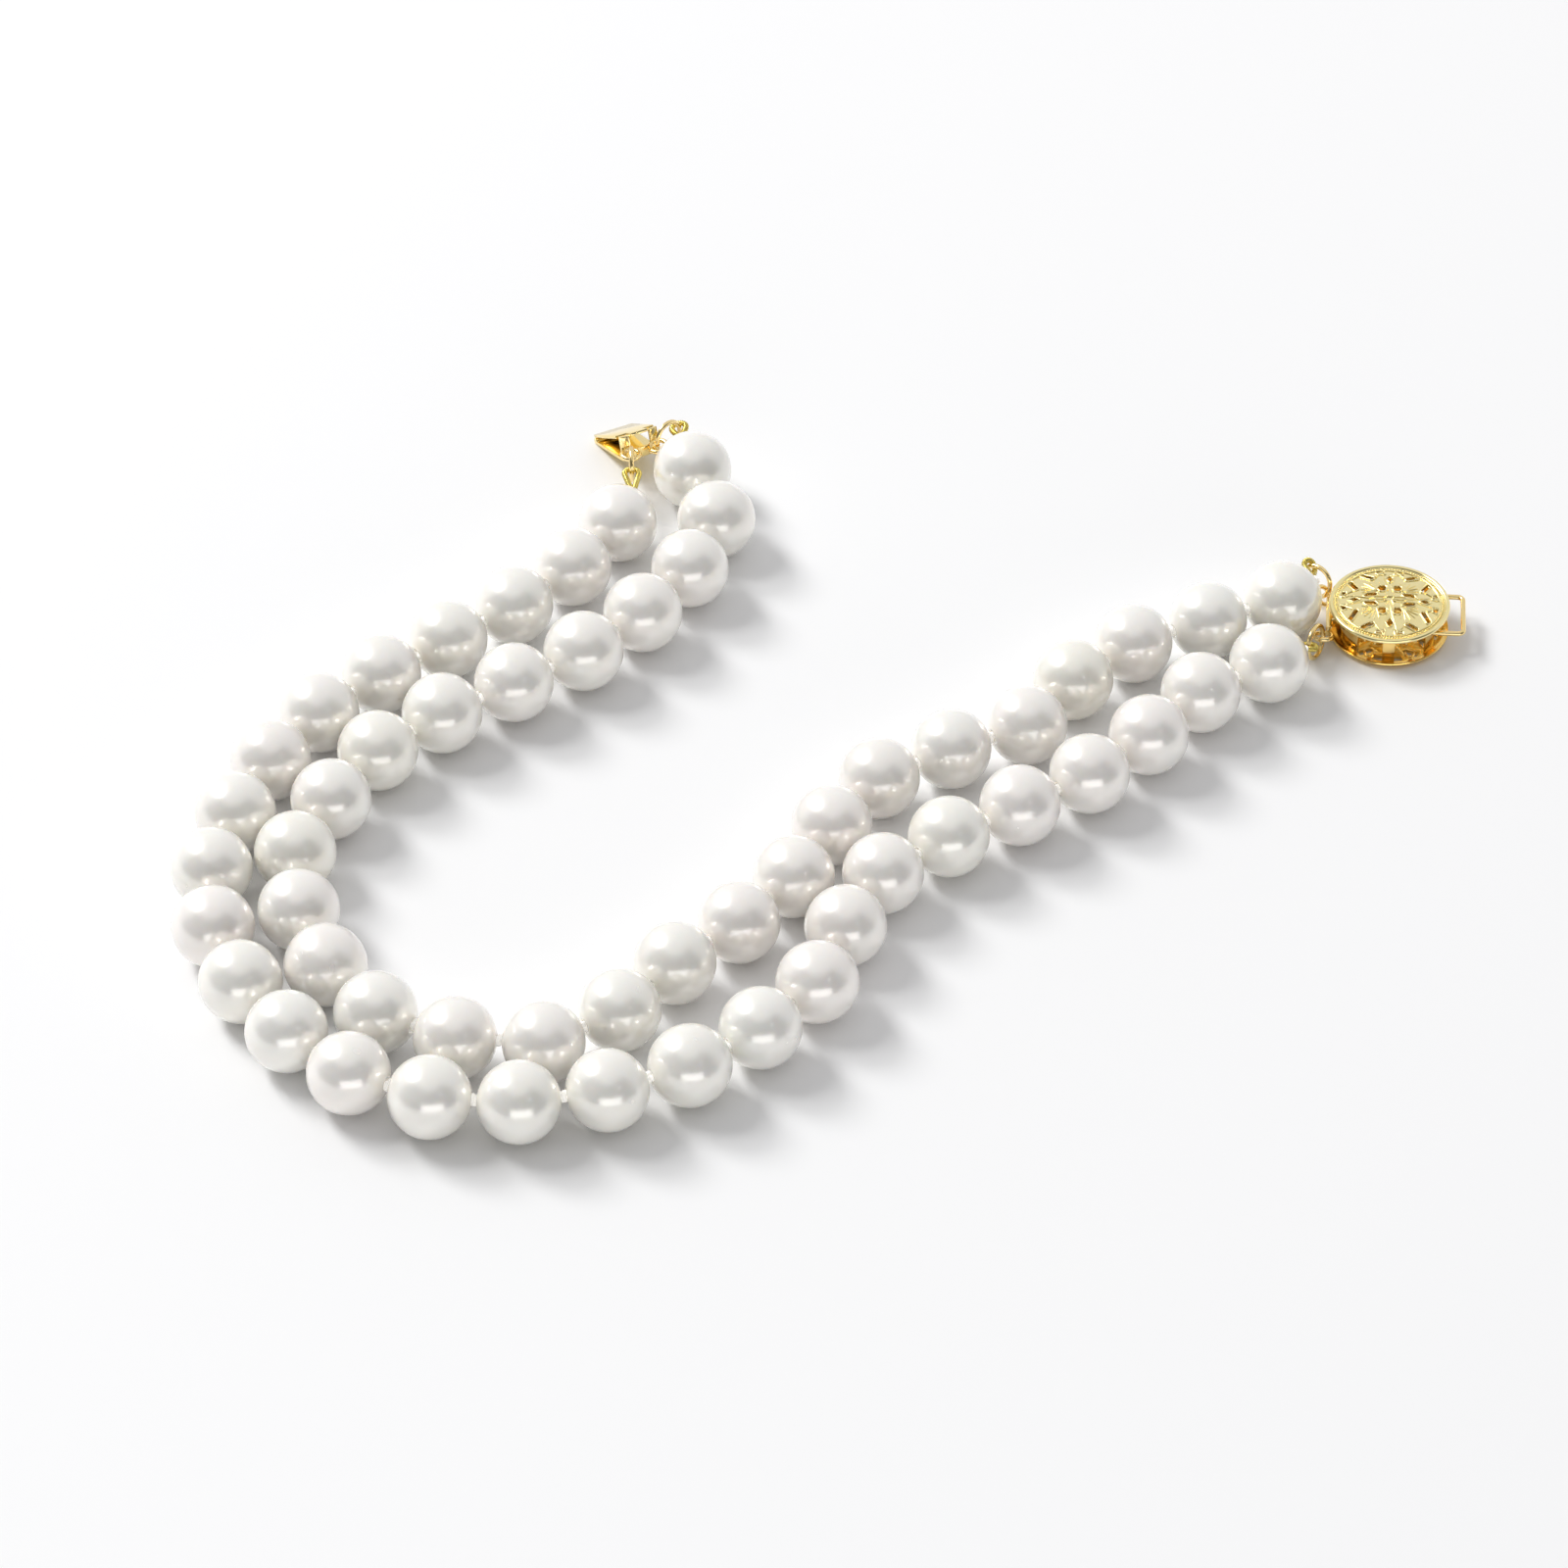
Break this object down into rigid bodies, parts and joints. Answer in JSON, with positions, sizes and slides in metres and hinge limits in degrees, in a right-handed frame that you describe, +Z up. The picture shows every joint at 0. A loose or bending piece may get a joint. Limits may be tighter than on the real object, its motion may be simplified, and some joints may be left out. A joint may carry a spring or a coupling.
{
  "type": "two-strand pearl bracelet",
  "caption": "Bracelet of two knotted strands of round white pearls, joined at both ends to a round gold filigree box clasp with a sprung tongue.",
  "frame": {"origin": "centre of the flat underside of the clasp box, on the table", "axes": "+Z up from the table; +X out of the mouth of the clasp box, away from the strands; the strands lie towards -X and -Y"},
  "size_m": [0.1006, 0.0885, 0.0065],
  "materials": {
    "pearl": "polished",
    "silk": "twisted white silk, knotted",
    "clasp_gold": "polished pale yellow gold",
    "gallery_gold": "polished yellow gold, darker inside the box",
    "link_gold": "polished round gold wire",
    "gimp_gold": "fine coiled gold wire"
  },
  "bodies": {
    "clasp_box": {"clasp_top_plate": "clasp_gold", "clasp_base_plate": "clasp_gold", "gallery_wall": "gallery_gold", "gallery_posts": "gallery_gold", "gallery_scrolls": "clasp_gold", "catch_strip": "gallery_gold", "safety_bail": "clasp_gold", "strand_bar": "clasp_gold"},
    "box_rings": {"ring_inner_box": "link_gold", "ring_outer_box": "link_gold"},
    "strand_01": {"pearls_01": "pearl", "silk_01": "silk", "gimp_inner_box": "gimp_gold", "gimp_outer_box": "gimp_gold"},
    "strand_02": {"pearls_02": "pearl", "silk_02": "silk"},
    "strand_03": {"pearls_03": "pearl", "silk_03": "silk"},
    "strand_04": {"pearls_04": "pearl", "silk_04": "silk"},
    "strand_05": {"pearls_05": "pearl", "silk_05": "silk"},
    "strand_06": {"pearls_06": "pearl", "silk_06": "silk"},
    "strand_07": {"pearls_07": "pearl", "silk_07": "silk"},
    "strand_08": {"pearls_08": "pearl", "silk_08": "silk"},
    "strand_09": {"pearls_09": "pearl", "silk_09": "silk"},
    "strand_10": {"pearls_10": "pearl", "silk_10": "silk"},
    "strand_11": {"pearls_11": "pearl", "silk_11": "silk"},
    "strand_12": {"pearls_12": "pearl", "silk_12": "silk"},
    "strand_13": {"pearls_13": "pearl", "silk_13": "silk", "gimp_inner_tongue": "gimp_gold", "gimp_outer_tongue": "gimp_gold"},
    "tongue_rings": {"ring_inner_tongue": "link_gold", "ring_outer_tongue": "link_gold"},
    "tongue": {"tongue_lower_leaf": "clasp_gold", "tongue_end_plate": "clasp_gold", "tongue_eyes": "clasp_gold"},
    "tongue_spring": {"tongue_spring_leaf": "clasp_gold"}
  },
  "joints": [
    {"name": "box_ring_swing", "type": "hinge", "parent": "clasp_box", "child": "box_rings", "pos_m": [-0.0053, 0, 0.0013], "axis": [0, 1, 0], "range_deg": [0, 10]},
    {"name": "box_gimp_swing", "type": "hinge", "parent": "box_rings", "child": "strand_01", "pos_m": [-0.00648, -0.00044, 0.00261], "axis": [-0.0022, 0.9911, 0.1332], "range_deg": [0, 15]},
    {"name": "knot_bend_01", "type": "hinge", "parent": "strand_01", "child": "strand_02", "pos_m": [-0.01498, -0.00781, 0.00325], "axis": [-0.6996, 0.7145, 0], "range_deg": [0, 25]},
    {"name": "knot_bend_02", "type": "hinge", "parent": "strand_02", "child": "strand_03", "pos_m": [-0.02413, -0.0174, 0.00325], "axis": [-0.6889, 0.7249, 0], "range_deg": [0, 25]},
    {"name": "knot_bend_03", "type": "hinge", "parent": "strand_03", "child": "strand_04", "pos_m": [-0.03446, -0.02572, 0.00325], "axis": [-0.6618, 0.7497, 0], "range_deg": [0, 25]},
    {"name": "knot_bend_04", "type": "hinge", "parent": "strand_04", "child": "strand_05", "pos_m": [-0.04262, -0.03599, 0.00325], "axis": [-0.6248, 0.7808, 0], "range_deg": [0, 25]},
    {"name": "knot_bend_05", "type": "hinge", "parent": "strand_05", "child": "strand_06", "pos_m": [-0.04888, -0.04766, 0.00325], "axis": [-0.7122, 0.702, 0], "range_deg": [0, 25]},
    {"name": "knot_bend_06", "type": "hinge", "parent": "strand_06", "child": "strand_07", "pos_m": [-0.0583, -0.05699, 0.00325], "axis": [-0.7181, 0.696, 0], "range_deg": [0, 25]},
    {"name": "knot_bend_07", "type": "hinge", "parent": "strand_07", "child": "strand_08", "pos_m": [-0.07427, -0.05831, 0.00325], "axis": [0.1944, 0.9809, 0], "range_deg": [0, 25]},
    {"name": "knot_bend_08", "type": "hinge", "parent": "strand_08", "child": "strand_09", "pos_m": [-0.08565, -0.04673, 0.00325], "axis": [0.9403, 0.3402, 0], "range_deg": [0, 25]},
    {"name": "knot_bend_09", "type": "hinge", "parent": "strand_09", "child": "strand_10", "pos_m": [-0.08722, -0.03377, 0.00325], "axis": [0.9526, 0.3041, 0], "range_deg": [0, 25]},
    {"name": "knot_bend_10", "type": "hinge", "parent": "strand_10", "child": "strand_11", "pos_m": [-0.08002, -0.01888, 0.00325], "axis": [0.7651, -0.6439, 0], "range_deg": [0, 25]},
    {"name": "knot_bend_11", "type": "hinge", "parent": "strand_11", "child": "strand_12", "pos_m": [-0.07007, -0.00988, 0.00325], "axis": [0.7521, -0.659, 0], "range_deg": [0, 25]},
    {"name": "knot_bend_12", "type": "hinge", "parent": "strand_12", "child": "strand_13", "pos_m": [-0.06154, 0.00038, 0.00325], "axis": [0.7507, -0.6606, 0], "range_deg": [0, 25]},
    {"name": "tongue_gimp_swing", "type": "hinge", "parent": "strand_13", "child": "tongue_rings", "pos_m": [-0.06067, 0.01583, 0.00319], "axis": [0.5119, 0.8574, 0.0539], "range_deg": [0, 15]},
    {"name": "tongue_ring_swing", "type": "hinge", "parent": "tongue_rings", "child": "tongue", "pos_m": [-0.0616, 0.01612, 0.00288], "axis": [0.866, 0.5, 0], "range_deg": [0, 20]},
    {"name": "spring_leaf_press", "type": "hinge", "parent": "tongue", "child": "tongue_spring", "pos_m": [-0.06455, 0.02123, 0.00027], "axis": [-0.866, -0.5, 0], "range_deg": [-10, 0], "stiffness_Nm_per_rad": 0.01}
  ]
}
